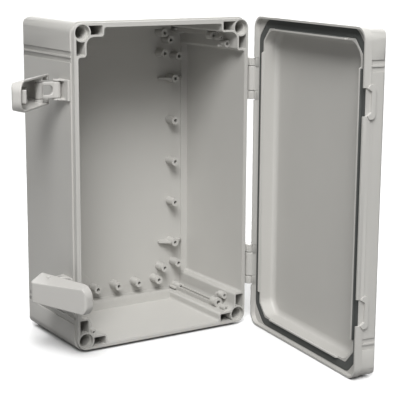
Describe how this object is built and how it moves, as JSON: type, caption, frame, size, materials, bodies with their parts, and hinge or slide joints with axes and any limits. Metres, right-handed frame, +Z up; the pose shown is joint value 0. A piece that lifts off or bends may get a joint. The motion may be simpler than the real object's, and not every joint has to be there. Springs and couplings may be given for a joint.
{
  "type": "hinged wall enclosure",
  "caption": "Light grey ABS enclosure with corner screw columns, rear-wall posts, a gasketed cover on side hinges and over-centre draw latches, shown open.",
  "frame": {"origin": "centre of the four wall-mount holes, on the base's rear face", "axes": "+Y through the rear wall to the mounting wall, so the open front faces -Y; +Z up; +X to the hinge side"},
  "size_m": [0.2587, 0.2781, 0.2818],
  "materials": {
    "shell": "fine moulded texture, light grey ABS",
    "latch": "smooth satin, pale warm grey",
    "seal": "matt dark grey foam rubber",
    "steel": "plain drawn pin"
  },
  "bodies": {
    "base": {"base": "shell", "upper_hinge_bracket": "shell", "lower_hinge_bracket": "shell", "upper_hinge_pin": "steel", "lower_hinge_pin": "steel", "upper_latch_bracket": "latch", "lower_latch_bracket": "latch", "upper_latch_pin": "steel", "lower_latch_pin": "steel"},
    "door": {"cover": "shell", "gasket": "seal", "upper_hinge_leaf": "shell", "lower_hinge_leaf": "shell"},
    "upper_link": {"upper_link": "latch", "upper_lever_pin": "steel"},
    "upper_lever": {"upper_lever": "latch"},
    "lower_link": {"lower_link": "latch", "lower_lever_pin": "steel"},
    "lower_lever": {"lower_lever": "latch"}
  },
  "joints": [
    {"name": "door_hinge", "type": "hinge", "parent": "base", "child": "door", "pos_m": [0.0925, -0.0966, 0], "axis": [0, 0, 1], "range_deg": [-83.5, 76.5]},
    {"name": "upper_link_pivot", "type": "hinge", "parent": "base", "child": "upper_link", "pos_m": [-0.093, -0.082, 0.084], "axis": [0, 0, 1], "range_deg": [-88, 10]},
    {"name": "upper_lever_pivot", "type": "hinge", "parent": "upper_link", "child": "upper_lever", "pos_m": [-0.1095, -0.082, 0.084], "axis": [0, 0, 1], "range_deg": [-15.3, 133.6]},
    {"name": "lower_link_pivot", "type": "hinge", "parent": "base", "child": "lower_link", "pos_m": [-0.093, -0.082, -0.084], "axis": [0, 0, 1], "range_deg": [-118, 4]},
    {"name": "lower_lever_pivot", "type": "hinge", "parent": "lower_link", "child": "lower_lever", "pos_m": [-0.10729, -0.09025, -0.084], "axis": [0, 0, 1], "range_deg": [-3.6, 103.1]}
  ],
  "couplings": [
    {"joint": "upper_lever_pivot", "follows": "upper_link_pivot", "ratio": -1.517},
    {"joint": "lower_lever_pivot", "follows": "lower_link_pivot", "ratio": -0.87288}
  ]
}
